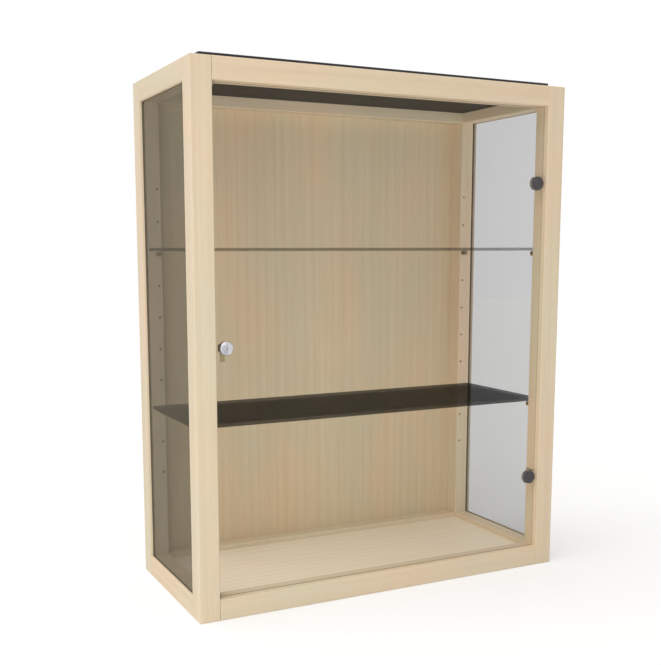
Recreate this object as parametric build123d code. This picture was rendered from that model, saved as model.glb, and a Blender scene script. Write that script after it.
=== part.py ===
from build123d import *
import os

# Hanging display cabinet: a maple frame of square posts and rails, glass sides, an inset
# glass door on pivot hinges with a cylinder lock, two glass shelves, a maple back and floor,
# and a black ceiling under a black cover.
# Millimetres. X runs left to right, the door faces -Y, and the base lies on Z = 0.

# Carcass
cabinet_width = 800.0
cabinet_depth = 346.0
cabinet_height = 1000.0
post_section = 40.0
rail_height = 40.0
edge_radius = 2.0

# Fits and small bevels shared by all pieces
hole_clearance = 0.05
loose_clearance = 0.5
stop_gap = 0.3
small_bevel = 1.0

# Dowels that join each rail to its posts
dowel_radius = 4.0
dowel_depth = 20.0
dowel_bevel = 1.0
dowel_hole_extra = 1.0
long_rail_dowel_spread = 12.0
side_rail_dowel_spread = 6.0

# Back panel, let into a rebate round the back of the frame
back_thickness = 6.0
back_lap = 12.0
back_screw_pitch = 150.0
back_screw_head_radius = 3.2
back_screw_shank_radius = 1.6
back_screw_length = 20.0

# Floor panel, let into a groove in the four bottom rails
floor_drop = 10.0
floor_thickness = 10.0
floor_tongue = 8.0
floor_play = 0.2

# Black ceiling between the top rails, and the cover plate over it
ceiling_thickness = 18.0
ceiling_play = 0.5
cover_thickness = 9.0
cover_inset = 24.0
cover_edge_radius = 1.5
cover_screw_head_radius = 4.2
cover_screw_shank_radius = 2.1
cover_screw_length = 25.0
cover_screw_side_share = 0.7
ceiling_screw_inset = 60.0

# Side panes, held in grooves with a rubber seal
side_glass_thickness = 4.0
side_glass_setback = 6.0
side_seal_cheek = 0.5
side_groove_depth = 8.0
side_seal_bed = 1.0
side_seal_recess = 1.0
glass_arris = 0.5

# Rows of holes for the shelf supports
support_hole_radius = 2.5
support_hole_depth = 9.0
support_hole_first = 217.0
support_hole_pitch = 64.0
support_hole_count = 10
support_hole_inset = 8.0

# Glass shelves on their supports
shelf_thickness = 6.0
shelf_side_play = 2.0
shelf_end_play = 3.0
SHELF_HOLES = {"middle": 2, "upper": 7}
support_head_radius = 5.0
support_head_length = 12.0
support_seat_height = 4.0
support_pin_length = 8.5
pad_thickness = 2.0
pad_width = 7.0
pad_length = 7.0
pad_shelf_margin = 0.8

# Door pane
door_setback = 9.0
door_thickness = 5.0
door_play = 2.0

# Pivot hinges on the right edge of the door
hinge_end_distance = 193.0
hinge_cap_radius = 13.5
hinge_cap_thickness = 2.5
hinge_cap_bevel = 1.0
hinge_cap_edge_gap = 3.0
hinge_gasket_thickness = 0.3
hinge_pin_wall_gap = 7.0
hinge_pin_radius = 1.25
hinge_pin_grip = 0.01
hinge_knuckle_half_height = 5.0
hinge_knuckle_gap = 0.4
hinge_notch_half_height = 12.5
hinge_notch_depth = 24.0
hinge_core_gap = 0.3
hinge_core_stop = 4.0
hinge_clamp_edge = 2.0
hinge_slot_clearance = 0.6
hinge_arm_thickness = 2.0
hinge_arm_reach = 12.5
hinge_crank_thickness = 3.0
hinge_leaf_thickness = 2.5
hinge_leaf_half_height = 13.0
hinge_leaf_rear_margin = 3.0
hinge_leaf_swing_gap = 5.0
hinge_leaf_screw_spread = 8.4
hinge_leaf_screw_head_radius = 3.2
hinge_leaf_screw_shank_radius = 1.6
hinge_leaf_screw_length = 18.0
clamp_screw_spread = 7.0
clamp_screw_head_radius = 2.6
clamp_screw_shank_radius = 1.5
clamp_screw_bite = 1.2

# Cylinder lock near the left edge of the door
lock_post_distance = 20.0
lock_height = 500.0
lock_knob_radius = 12.5
lock_knob_rounding = 2.0
lock_gasket_thickness = 0.3
lock_barrel_radius = 8.0
lock_barrel_rear = 9.0
lock_plug_radius = 6.0
lock_plug_clearance = 0.05
lock_key_width = 1.2
lock_key_height = 6.4
lock_key_depth = 14.0
lock_washer_radius = 11.0
lock_washer_thickness = 1.0
lock_nut_flats = 20.0
lock_nut_thickness = 5.0
cam_gap = 0.3
cam_thickness = 2.0
cam_reach = 26.0
cam_half_width = 4.5
cam_square = 5.0
cam_screw_head_radius = 3.6
cam_screw_head_height = 2.2
cam_screw_head_bevel = 0.6
cam_screw_slot_width = 0.8
cam_screw_slot_depth = 1.0
cam_screw_shank_radius = 1.6
cam_screw_length = 7.0
strike_thickness = 1.5
strike_width = 20.0
strike_end_margin = 15.0
strike_screw_end_distance = 7.0
strike_screw_head_radius = 2.8
strike_screw_shank_radius = 1.5
strike_screw_length = 16.0
mortise_clearance = 1.0

# Stops that the closed door rests against
door_stop_width = 7.0
door_stop_height = 7.0
door_stop_depth = 8.0

# Plates in the back of the top rail that hang the cabinet on the wall
hanger_post_distance = 60.0
hanger_hole_radius = 4.5
hanger_width = 60.0
hanger_height = 22.0
hanger_thickness = 2.5
hanger_top_distance = 14.0
hanger_pocket_radius = 8.5
hanger_pocket_depth = 14.0
hanger_screw_spread = 20.0
hanger_screw_head_radius = 3.2
hanger_screw_shank_radius = 1.6
hanger_screw_length = 18.0

# Screw shapes, as shares of the screw's own radius
screw_tip_length = 1.6
screw_tip_radius = 0.2
screw_recess_width = 0.24
screw_recess_depth = 0.6

# Planes and corners worked out from the sizes above
half_width = cabinet_width / 2
half_depth = cabinet_depth / 2
inner_x = half_width - post_section
inner_y = half_depth - post_section
sill_z = rail_height
lintel_z = cabinet_height - rail_height
floor_z = sill_z - floor_drop
back_plane = half_depth - back_thickness
glass_outer_x = half_width - side_glass_setback
glass_inner_x = glass_outer_x - side_glass_thickness
groove_outer_x = glass_outer_x + side_seal_cheek
groove_inner_x = glass_inner_x - side_seal_cheek
door_front = -half_depth + door_setback
door_back = door_front + door_thickness
door_edge_x = inner_x - door_play
pin_x = inner_x - hinge_pin_wall_gap
pin_y = (door_front + door_back) / 2
hinge_x = inner_x - hinge_cap_edge_gap - hinge_cap_radius
hinge_heights = {"lower": hinge_end_distance, "upper": cabinet_height - hinge_end_distance}
knuckle_radius = door_thickness / 2
clamp_front = door_back + hinge_gasket_thickness
clamp_back = clamp_front + hinge_cap_thickness
core_left = door_edge_x - hinge_notch_depth + hinge_core_gap
core_right = pin_x - hinge_core_stop
leaf_front = pin_y + hinge_leaf_swing_gap
leaf_back = -inner_y - hinge_leaf_rear_margin
leaf_face_x = inner_x - hinge_leaf_thickness
lock_x = -inner_x + lock_post_distance
barrel_end = door_back + lock_barrel_rear
cam_front = barrel_end + cam_gap
cam_back = cam_front + cam_thickness
cam_tip_radius = (cam_reach**2 + cam_half_width**2) ** 0.5
cam_drop = (cam_tip_radius**2 - lock_post_distance**2) ** 0.5
mortise_z = (lock_height - cam_drop - mortise_clearance, lock_height + cam_half_width + mortise_clearance)
mortise_y = (cam_front - mortise_clearance, cam_back + mortise_clearance)
strike_z = (mortise_z[0] - strike_end_margin, mortise_z[1] + strike_end_margin)
support_x = inner_x + support_hole_inset
support_rise = support_seat_height + pad_thickness
hanger_x = inner_x - hanger_post_distance
hanger_z = cabinet_height - hanger_top_distance
SIDES = {"left": -1, "right": 1}
ENDS = {"front": -1, "rear": 1}
LEVELS = {"bottom": rail_height / 2, "top": cabinet_height - rail_height / 2}


def block(x, y, z):
    """A box between the low and high limits given for X, Y and Z, in either order."""
    spans = [(min(limits), max(limits)) for limits in (x, y, z)]
    middle = [(low + high) / 2 for low, high in spans]
    size = [high - low for low, high in spans]
    return Pos(*middle) * Box(*size)


def mirrored_pair(side, near, far):
    """The limits from near to far, on the given side of the middle."""
    return (side * near, side * far)


def placed(shape, at, towards):
    """The shape, drawn along +Z from the origin, moved to a point and turned to a direction."""
    return Plane(origin=at, z_dir=towards).location * shape


def round_bar(radius, length, start=0.0):
    """A cylinder along +Z that begins at the height start."""
    return Pos(0, 0, start) * Cylinder(radius, length, align=(Align.CENTER, Align.CENTER, Align.MIN))


def cone_bar(radius, end_radius, length, start=0.0):
    """A cone along +Z that begins at the height start."""
    align = (Align.CENTER, Align.CENTER, Align.MIN)
    return Pos(0, 0, start) * Cone(radius, end_radius, length, align=align)


def screw(head_radius, shank_radius, length):
    """A countersunk screw with its head's face at the origin, pointing along +Z."""
    head = head_radius - shank_radius
    tip = shank_radius * screw_tip_length
    shape = cone_bar(head_radius, shank_radius, head)
    shape += round_bar(shank_radius, length - head - tip, head)
    shape += cone_bar(shank_radius, shank_radius * screw_tip_radius, tip, length - tip)
    slot = Box(head_radius, head_radius * screw_recess_width, 2 * head * screw_recess_depth)
    return shape - slot - Rot(0, 0, 90) * slot


def screw_hole(head_radius, shank_radius, length):
    """The hole for such a screw, countersunk and a little deeper."""
    head = head_radius - shank_radius
    mouth = cone_bar(head_radius + hole_clearance, shank_radius + hole_clearance, head)
    return mouth + round_bar(shank_radius + hole_clearance, length + loose_clearance)


def group(solids):
    """Separate solids that share one node."""
    return Compound(children=list(solids))


def cut(piece, cutters):
    """The piece with each cutter taken out."""
    for cutter in cutters:
        piece = piece - cutter
    return piece


# Joints between rails and posts


def dowel_places(side, end, level):
    """The start and direction of each dowel at one corner, from the rail's side of the joint."""
    middle_x = side * (half_width - post_section / 2)
    middle_y = end * (half_depth - post_section / 2)
    places = []
    for offset in (-long_rail_dowel_spread, long_rail_dowel_spread):
        places.append(((side * (inner_x - dowel_depth), middle_y, LEVELS[level] + offset), (side, 0, 0)))
    for offset in (-side_rail_dowel_spread, side_rail_dowel_spread):
        places.append(((middle_x + offset, end * (inner_y - dowel_depth), LEVELS[level]), (0, end, 0)))
    return places


def dowel():
    """One dowel along +Z, bevelled at both ends."""
    bar = round_bar(dowel_radius, 2 * dowel_depth)
    return chamfer(bar.edges().filter_by(GeomType.CIRCLE), dowel_bevel)


def dowel_hole():
    """The hole for a dowel, a little wider and longer at both ends."""
    return round_bar(
        dowel_radius + hole_clearance, 2 * (dowel_depth + dowel_hole_extra), -dowel_hole_extra
    )


def dowel_holes(side, end, level):
    """The holes for the dowels of one corner."""
    return [placed(dowel_hole(), at, towards) for at, towards in dowel_places(side, end, level)]


def frame_dowels():
    """All dowels of the frame."""
    return group(
        placed(dowel(), at, towards)
        for side in SIDES.values()
        for end in ENDS.values()
        for level in LEVELS
        for at, towards in dowel_places(side, end, level)
    )


# Grooves and rebates that run round several pieces


def side_groove(side):
    """The space of one side pane's groove, cut into two posts and two rails."""
    x = mirrored_pair(side, groove_inner_x, groove_outer_x)
    y = (-inner_y - side_groove_depth, inner_y + side_groove_depth)
    z = (sill_z - side_groove_depth, lintel_z + side_groove_depth)
    return block(x, y, z)


def back_rebate():
    """The space of the back panel's rebate."""
    reach_x = inner_x + back_lap + loose_clearance
    z = (sill_z - back_lap - loose_clearance, lintel_z + back_lap + loose_clearance)
    return block((-reach_x, reach_x), (back_plane, half_depth + back_thickness), z)


def floor_outline(margin):
    """The floor panel's outline on X and Y, drawn in by a margin, with corners cut for the posts."""
    reach_x = inner_x + floor_tongue - margin
    reach_y = inner_y + floor_tongue - margin
    wide = Rectangle(2 * reach_x, 2 * (inner_y - margin))
    deep = Rectangle(2 * (inner_x - margin), 2 * reach_y)
    return wide + deep


def floor_groove():
    """The space of the floor panel's groove."""
    base = floor_z - floor_thickness
    return Pos(0, 0, base) * extrude(floor_outline(0), floor_thickness + floor_play)


# Screws


def back_screw_places():
    """The points where screws enter the back panel, all pointing forwards."""
    x = inner_x + back_lap / 2
    low = sill_z - back_lap / 2
    high = lintel_z + back_lap / 2
    across = max(2, round(2 * inner_x / back_screw_pitch))
    upright = max(2, round((high - low) / back_screw_pitch))
    points = []
    for n in range(1, across):
        along = -inner_x + 2 * inner_x * n / across
        points += [(along, half_depth, low), (along, half_depth, high)]
    for n in range(1, upright):
        up = low + (high - low) * n / upright
        points += [(-x, half_depth, up), (x, half_depth, up)]
    return [(point, (0, -1, 0)) for point in points]


def cover_screw_places():
    """The points where screws enter the cover plate, over the rails and over the ceiling."""
    top = cabinet_height + cover_thickness
    lap = (post_section - cover_inset) / 2
    edge_x = inner_x + lap
    edge_y = inner_y + lap
    near_x = inner_x - ceiling_screw_inset
    near_y = inner_y - ceiling_screw_inset
    points = [(0, end * edge_y, top) for end in ENDS.values()]
    for side in SIDES.values():
        for end in ENDS.values():
            points.append((side * edge_x, end * near_y, top))
            points.append((side * cover_screw_side_share * inner_x, end * edge_y, top))
            points.append((side * near_x, end * near_y, top))
    return [(point, (0, 0, -1)) for point in points]


def hinge_leaf_screw_places():
    """The points where screws enter the hinge leaves."""
    y = (leaf_front + leaf_back) / 2
    heights = [
        height + offset
        for height in hinge_heights.values()
        for offset in (-hinge_leaf_screw_spread, hinge_leaf_screw_spread)
    ]
    return [((leaf_face_x, y, height), (1, 0, 0)) for height in heights]


def clamp_screw_places():
    """The points where screws enter the clamp plates behind the door."""
    x = (core_left + core_right) / 2
    return [
        ((x, clamp_back, height + offset), (0, -1, 0))
        for height in hinge_heights.values()
        for offset in (-clamp_screw_spread, clamp_screw_spread)
    ]


def strike_screw_places():
    """The points where screws enter the strike plate."""
    y = (mortise_y[0] + mortise_y[1]) / 2
    heights = (strike_z[0] + strike_screw_end_distance, strike_z[1] - strike_screw_end_distance)
    return [((-inner_x, y, height), (-1, 0, 0)) for height in heights]


def hanger_screw_places():
    """The points where screws enter the hanging plates."""
    return [
        ((side * hanger_x + offset, half_depth, hanger_z), (0, -1, 0))
        for side in SIDES.values()
        for offset in (-hanger_screw_spread, hanger_screw_spread)
    ]


SCREWS = {
    "back": (back_screw_places, back_screw_head_radius, back_screw_shank_radius, back_screw_length),
    "cover": (
        cover_screw_places,
        cover_screw_head_radius,
        cover_screw_shank_radius,
        cover_screw_length,
    ),
    "hinge_leaf": (
        hinge_leaf_screw_places,
        hinge_leaf_screw_head_radius,
        hinge_leaf_screw_shank_radius,
        hinge_leaf_screw_length,
    ),
    "clamp": (
        clamp_screw_places,
        clamp_screw_head_radius,
        clamp_screw_shank_radius,
        clamp_back - door_front + hinge_gasket_thickness + clamp_screw_bite,
    ),
    "strike": (
        strike_screw_places,
        strike_screw_head_radius,
        strike_screw_shank_radius,
        strike_screw_length,
    ),
    "hanger": (
        hanger_screw_places,
        hanger_screw_head_radius,
        hanger_screw_shank_radius,
        hanger_screw_length,
    ),
}


def screws(kind):
    """The screws of one kind, as one node."""
    places, *sizes = SCREWS[kind]
    return group(placed(screw(*sizes), at, towards) for at, towards in places())


def screw_holes(kind):
    """The holes for the screws of one kind."""
    places, *sizes = SCREWS[kind]
    return [placed(screw_hole(*sizes), at, towards) for at, towards in places()]


# Posts and rails


def support_holes(side, end):
    """The row of shelf support holes in one post, in the face that looks into the cabinet."""
    bore = round_bar(support_hole_radius, support_hole_depth)
    heights = [support_hole_first + n * support_hole_pitch for n in range(support_hole_count)]
    return [placed(bore, (side * support_x, end * inner_y, height), (0, end, 0)) for height in heights]


def plain_post(side, end):
    """A post with its joints, its pane groove and its row of holes."""
    x = mirrored_pair(side, inner_x, half_width)
    y = mirrored_pair(end, inner_y, half_depth)
    body = block(x, y, (0, cabinet_height))
    body = fillet(body.edges(), edge_radius)
    body = cut(body, [side_groove(side)] + support_holes(side, end))
    for level in LEVELS:
        body = cut(body, dowel_holes(side, end, level))
    return body


def front_post(side):
    """A front post, with the hinge screws' holes on the right and the lock's mortise on the left."""
    body = plain_post(side, -1)
    if side > 0:
        return cut(body, screw_holes("hinge_leaf"))
    depth = cam_tip_radius - lock_post_distance + mortise_clearance
    mortise = block((-inner_x - depth, -inner_x), mortise_y, mortise_z)
    return cut(body, [mortise, strike_pocket()] + screw_holes("strike"))


def rear_post(side):
    """A rear post, with the back panel's rebate and screw holes."""
    return cut(plain_post(side, 1), [back_rebate()] + screw_holes("back"))


def rail_span(level):
    """The low and high limits of the rails at one level."""
    return (LEVELS[level] - rail_height / 2, LEVELS[level] + rail_height / 2)


def long_rail(end, level):
    """A front or rear rail, from post to post."""
    y = mirrored_pair(end, inner_y, half_depth)
    body = block((-inner_x, inner_x), y, rail_span(level))
    body = fillet(body.edges().filter_by(Axis.X), edge_radius)
    for side in SIDES.values():
        body = cut(body, dowel_holes(side, end, level))
    if level == "bottom":
        body = body - floor_groove()
    else:
        body = cut(body, screw_holes("cover"))
    if end > 0:
        body = cut(body, [back_rebate()] + screw_holes("back"))
    if end > 0 and level == "top":
        body = cut(body, hanger_pockets() + screw_holes("hanger"))
    return body


def side_rail(side, level):
    """A left or right rail, from post to post, with its pane groove."""
    x = mirrored_pair(side, inner_x, half_width)
    body = block(x, (-inner_y, inner_y), rail_span(level))
    body = fillet(body.edges().filter_by(Axis.Y), edge_radius)
    body = body - side_groove(side)
    for end in ENDS.values():
        body = cut(body, dowel_holes(side, end, level))
    if level == "bottom":
        return body - floor_groove()
    return cut(body, screw_holes("cover"))


# Panels


def back_panel():
    """The back panel, flush with the back of the frame."""
    reach_x = inner_x + back_lap
    z = (sill_z - back_lap, lintel_z + back_lap)
    panel = block((-reach_x, reach_x), (back_plane, half_depth), z)
    return cut(panel, screw_holes("back"))


def floor_panel():
    """The floor panel, with its tongue in the rails' groove."""
    base = floor_z - floor_thickness
    return Pos(0, 0, base) * extrude(floor_outline(loose_clearance), floor_thickness)


def ceiling_panel():
    """The black ceiling that hangs between the top rails."""
    reach_x = inner_x - ceiling_play
    reach_y = inner_y - ceiling_play
    z = (cabinet_height - ceiling_thickness, cabinet_height)
    panel = block((-reach_x, reach_x), (-reach_y, reach_y), z)
    return cut(panel, screw_holes("cover"))


def top_cover():
    """The black plate on top, which laps over the rails."""
    reach_x = half_width - cover_inset
    reach_y = half_depth - cover_inset
    plate = block(
        (-reach_x, reach_x), (-reach_y, reach_y), (cabinet_height, cabinet_height + cover_thickness)
    )
    outer_edges = plate.edges().filter_by(Axis.Z) + plate.faces().sort_by(Axis.Z)[-1].edges()
    plate = fillet(outer_edges, cover_edge_radius)
    return cut(plate, screw_holes("cover"))


# Side panes


def side_glass(side):
    """One side pane, with its edges inside the grooves."""
    bite = side_groove_depth - side_seal_bed
    x = mirrored_pair(side, glass_inner_x, glass_outer_x)
    pane = block(x, (-inner_y - bite, inner_y + bite), (sill_z - bite, lintel_z + bite))
    return chamfer(pane.edges(), glass_arris)


def side_seal(side):
    """The rubber channel round one side pane, a little below the wood's face."""
    depth = side_groove_depth - hole_clearance
    x = mirrored_pair(side, groove_inner_x + hole_clearance, groove_outer_x - hole_clearance)
    outer = block(x, (-inner_y - depth, inner_y + depth), (sill_z - depth, lintel_z + depth))
    recess = side_seal_recess
    window = block(
        mirrored_pair(side, groove_inner_x - recess, groove_outer_x + recess),
        (-inner_y - recess, inner_y + recess),
        (sill_z - recess, lintel_z + recess),
    )
    bite = side_groove_depth - side_seal_bed
    pane = block(
        mirrored_pair(side, glass_inner_x, glass_outer_x),
        (-inner_y - bite, inner_y + bite),
        (sill_z - bite, lintel_z + bite),
    )
    return outer - window - pane


# Shelves


def shelf_base(hole):
    """The height of a shelf's underside when its supports sit in the given hole."""
    return support_hole_first + hole * support_hole_pitch + support_rise


def shelf(hole):
    """A glass shelf on the supports in the given hole."""
    reach_x = glass_inner_x - shelf_side_play
    reach_y = inner_y - shelf_end_play
    base = shelf_base(hole)
    pane = block((-reach_x, reach_x), (-reach_y, reach_y), (base, base + shelf_thickness))
    return chamfer(pane.edges(), glass_arris)


def support():
    """A shelf support along +Z, with its pin behind the origin and a flat seat facing +Y."""
    shape = round_bar(support_head_radius, support_head_length)
    rim = shape.faces().sort_by(Axis.Z)[-1].edges()
    shape = chamfer(rim, small_bevel)
    shape += round_bar(support_hole_radius - hole_clearance, support_pin_length, -support_pin_length)
    reach = 2 * support_head_radius
    seat = block((-reach, reach), (support_seat_height, reach), (0, 2 * support_head_length))
    return shape - seat


def support_plane(side, end, hole):
    """Where a support sits: Z points into the cabinet and Y points up."""
    height = support_hole_first + hole * support_hole_pitch
    origin = (side * support_x, end * inner_y, height)
    return Plane(origin=origin, x_dir=(end, 0, 0), z_dir=(0, -end, 0))


def shelf_supports(hole):
    """The four supports of one shelf."""
    return group(
        support_plane(side, end, hole).location * support()
        for side in SIDES.values()
        for end in ENDS.values()
    )


def support_pads(hole):
    """The clear pads between one shelf and its supports."""
    start = shelf_end_play + pad_shelf_margin
    pad = block(
        (-pad_width / 2, pad_width / 2),
        (support_seat_height, support_rise),
        (start, start + pad_length),
    )
    return group(
        support_plane(side, end, hole).location * pad
        for side in SIDES.values()
        for end in ENDS.values()
    )


# Door


def disc(radius, x, front, back, height):
    """A round plate or bar that faces -Y, between two planes."""
    return placed(round_bar(radius, back - front), (x, front, height), (0, 1, 0))


def door_glass():
    """The door pane, with a notch for each hinge and a hole for the lock."""
    z = (sill_z + door_play, lintel_z - door_play)
    pane = block((-door_edge_x, door_edge_x), (door_front, door_back), z)
    pane = chamfer(pane.edges(), glass_arris)
    notch_x = (door_edge_x - hinge_notch_depth, inner_x)
    for height in hinge_heights.values():
        notch_z = (height - hinge_notch_half_height, height + hinge_notch_half_height)
        pane = pane - block(notch_x, (door_front, door_back), notch_z)
    hole = disc(lock_barrel_radius + loose_clearance, lock_x, door_front, door_back, lock_height)
    return pane - hole


# Pivot hinges


def hinge_cap(height):
    """The round cap of one hinge, in front of the door."""
    back = door_front - hinge_gasket_thickness
    cap = disc(hinge_cap_radius, hinge_x, back - hinge_cap_thickness, back, height)
    cap = chamfer(cap.faces().sort_by(Axis.Y)[0].edges(), hinge_cap_bevel)
    return cut(cap, screw_holes("clamp"))


def hinge_body(height):
    """The block in the door's notch, with two knuckles round the pin."""
    half = hinge_notch_half_height - hinge_core_gap
    z = (height - half, height + half)
    body = block((core_left, core_right), (door_front, door_back), z)
    for direction in (-1, 1):
        inner = height + direction * (hinge_knuckle_half_height + hinge_knuckle_gap)
        outer = height + direction * half
        body += block((core_right, pin_x), (door_front, door_back), (inner, outer))
        knuckle = round_bar(knuckle_radius, abs(outer - inner))
        body += placed(knuckle, (pin_x, pin_y, inner), (0, 0, direction))
    bore = round_bar(hinge_pin_radius + hinge_pin_grip, 2 * half)
    body = body - placed(bore, (pin_x, pin_y, height - half), (0, 0, 1))
    return cut(body, screw_holes("clamp"))


def clamp_outline(front, back, height):
    """A round plate behind the door, cut back at the post and open for the hinge arm."""
    plate = disc(hinge_cap_radius, hinge_x, front, back, height)
    reach = hinge_cap_radius + hinge_cap_edge_gap
    side = block(
        (pin_x + hinge_clamp_edge, inner_x + reach), (front, back), (height - reach, height + reach)
    )
    half = hinge_knuckle_half_height + hinge_slot_clearance
    slot = block((core_right, inner_x), (front, back), (height - half, height + half))
    return plate - side - slot


def hinge_clamp(height):
    """The plate that clamps the glass from behind."""
    plate = clamp_outline(clamp_front, clamp_back, height)
    return cut(plate, screw_holes("clamp"))


def hinge_gaskets():
    """The thin gaskets on both faces of the glass at each hinge."""
    shapes = []
    for height in hinge_heights.values():
        front = disc(hinge_cap_radius, hinge_x, door_front - hinge_gasket_thickness, door_front, height)
        back = clamp_outline(door_back, clamp_front, height)
        shapes += [cut(front, screw_holes("clamp")), cut(back, screw_holes("clamp"))]
    return group(shapes)


def hinge_arm(height):
    """The leaf on the post with the cranked arm and the knuckle between the door's two."""
    half = hinge_knuckle_half_height
    z = (height - half, height + half)
    arm_x = (pin_x - hinge_arm_thickness / 2, pin_x + hinge_arm_thickness / 2)
    crank_back = pin_y + hinge_arm_reach
    shape = placed(round_bar(knuckle_radius, 2 * half), (pin_x, pin_y, height - half), (0, 0, 1))
    shape += block(arm_x, (pin_y, crank_back), z)
    shape += block((arm_x[0], inner_x), (crank_back - hinge_crank_thickness, crank_back), z)
    leaf_z = (height - hinge_leaf_half_height, height + hinge_leaf_half_height)
    leaf = block((leaf_face_x, inner_x), (leaf_front, leaf_back), leaf_z)
    shape += chamfer(leaf.edges().filter_by(Axis.X), small_bevel)
    bore = round_bar(hinge_pin_radius + hole_clearance, 2 * half)
    shape = shape - placed(bore, (pin_x, pin_y, height - half), (0, 0, 1))
    return cut(shape, screw_holes("hinge_leaf"))


def hinge_pins():
    """The pins through the knuckles."""
    half = hinge_notch_half_height - hinge_core_gap
    bar = round_bar(hinge_pin_radius, 2 * half)
    return group(
        placed(bar, (pin_x, pin_y, height - half), (0, 0, 1)) for height in hinge_heights.values()
    )


# Lock


def lock_housing():
    """The round knob in front of the glass and the threaded barrel through it."""
    knob_back = door_front - lock_gasket_thickness
    knob = disc(lock_knob_radius, lock_x, -half_depth, knob_back, lock_height)
    knob = fillet(knob.faces().sort_by(Axis.Y)[0].edges(), lock_knob_rounding)
    barrel = disc(lock_barrel_radius, lock_x, knob_back, barrel_end, lock_height)
    bore = disc(lock_plug_radius, lock_x, -half_depth, barrel_end, lock_height)
    return knob + barrel - bore


def lock_ring(radius, front, back):
    """A ring round the lock's barrel, between two planes."""
    hole = disc(lock_barrel_radius + hole_clearance, lock_x, front, back, lock_height)
    return disc(radius, lock_x, front, back, lock_height) - hole


def lock_gasket():
    """The gasket between the knob and the glass."""
    return lock_ring(lock_knob_radius, door_front - lock_gasket_thickness, door_front)


def lock_washer():
    """The washer behind the glass."""
    return lock_ring(lock_washer_radius, door_back, door_back + lock_washer_thickness)


def lock_nut():
    """The hexagonal nut behind the washer."""
    front = door_back + lock_washer_thickness
    outline = RegularPolygon(lock_nut_flats / 2, 6, major_radius=False)
    nut = placed(extrude(outline, lock_nut_thickness), (lock_x, front, lock_height), (0, 1, 0))
    hole = disc(
        lock_barrel_radius + hole_clearance, lock_x, front, front + lock_nut_thickness, lock_height
    )
    return nut - hole


def lock_plug():
    """The turning plug, with its keyway in front and a square stub for the cam behind."""
    radius = lock_plug_radius - lock_plug_clearance
    plug = disc(radius, lock_x, -half_depth, barrel_end, lock_height)
    half = cam_square / 2
    around = (lock_x - half, lock_x + half)
    plug += block(around, (barrel_end, cam_back), (lock_height - half, lock_height + half))
    key = block(
        (lock_x - lock_key_width / 2, lock_x + lock_key_width / 2),
        (-half_depth, -half_depth + lock_key_depth),
        (lock_height - lock_key_height / 2, lock_height + lock_key_height / 2),
    )
    hole = disc(
        cam_screw_shank_radius + hole_clearance,
        lock_x,
        cam_back - cam_screw_length,
        cam_back,
        lock_height,
    )
    return plug - key - hole


def lock_cam():
    """The cam on the plug's stub, hanging down while the door is unlocked."""
    arm = block(
        (lock_x - cam_half_width, lock_x + cam_half_width),
        (cam_front, cam_back),
        (lock_height - cam_reach, lock_height),
    )
    arm += disc(cam_half_width, lock_x, cam_front, cam_back, lock_height)
    half = cam_square / 2 + hole_clearance
    hole = block(
        (lock_x - half, lock_x + half), (cam_front, cam_back), (lock_height - half, lock_height + half)
    )
    return arm - hole


def cam_screw():
    """The screw that holds the cam on the plug."""
    shank = disc(
        cam_screw_shank_radius, lock_x, cam_back - cam_screw_length + loose_clearance, cam_back, lock_height
    )
    end = cam_back + cam_screw_head_height
    head = disc(cam_screw_head_radius, lock_x, cam_back, end, lock_height)
    head = chamfer(head.faces().sort_by(Axis.Y)[-1].edges(), cam_screw_head_bevel)
    slot = block(
        (lock_x - cam_screw_head_radius, lock_x + cam_screw_head_radius),
        (end - cam_screw_slot_depth, end),
        (lock_height - cam_screw_slot_width / 2, lock_height + cam_screw_slot_width / 2),
    )
    return shank + head - slot


def strike_outline(clearance):
    """The strike plate's space in the post's face."""
    y_middle = (mortise_y[0] + mortise_y[1]) / 2
    half = strike_width / 2 + clearance
    z = (strike_z[0] - clearance, strike_z[1] + clearance)
    return block((-inner_x - strike_thickness, -inner_x), (y_middle - half, y_middle + half), z)


def strike_pocket():
    """The shallow pocket for the strike plate."""
    return strike_outline(hole_clearance)


def strike_plate():
    """The plate that the cam enters when it locks."""
    slot = block((-inner_x - strike_thickness, -inner_x), mortise_y, mortise_z)
    return cut(strike_outline(0), [slot] + screw_holes("strike"))


def door_stops():
    """The two clear stops behind the door, on the sill and under the lintel."""
    x = (-inner_x, -inner_x + door_stop_width)
    y = (door_back + stop_gap, door_back + stop_gap + door_stop_depth)
    low = block(x, y, (sill_z, sill_z + door_stop_height))
    high = block(x, y, (lintel_z - door_stop_height, lintel_z))
    return group(chamfer(stop.edges().filter_by(Axis.X), small_bevel) for stop in (low, high))


# Wall fixing


def hanger_outline(side, clearance):
    """A hanging plate's space in the back of the top rail."""
    middle = side * hanger_x
    half = hanger_width / 2 + clearance
    tall = hanger_height / 2 + clearance
    return block(
        (middle - half, middle + half),
        (half_depth - hanger_thickness, half_depth),
        (hanger_z - tall, hanger_z + tall),
    )


def hanger_plate(side):
    """A steel plate with a hole for the wall screw."""
    plate = hanger_outline(side, 0)
    front = half_depth - hanger_thickness
    hole = disc(hanger_hole_radius, side * hanger_x, front, half_depth, hanger_z)
    return cut(plate, [hole] + screw_holes("hanger"))


def hanger_pockets():
    """The pockets for the plates, and the deeper ones for the heads of the wall screws."""
    pockets = []
    for side in SIDES.values():
        pockets.append(hanger_outline(side, hole_clearance))
        front = half_depth - hanger_thickness - hanger_pocket_depth
        pockets.append(disc(hanger_pocket_radius, side * hanger_x, front, half_depth, hanger_z))
    return pockets


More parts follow.
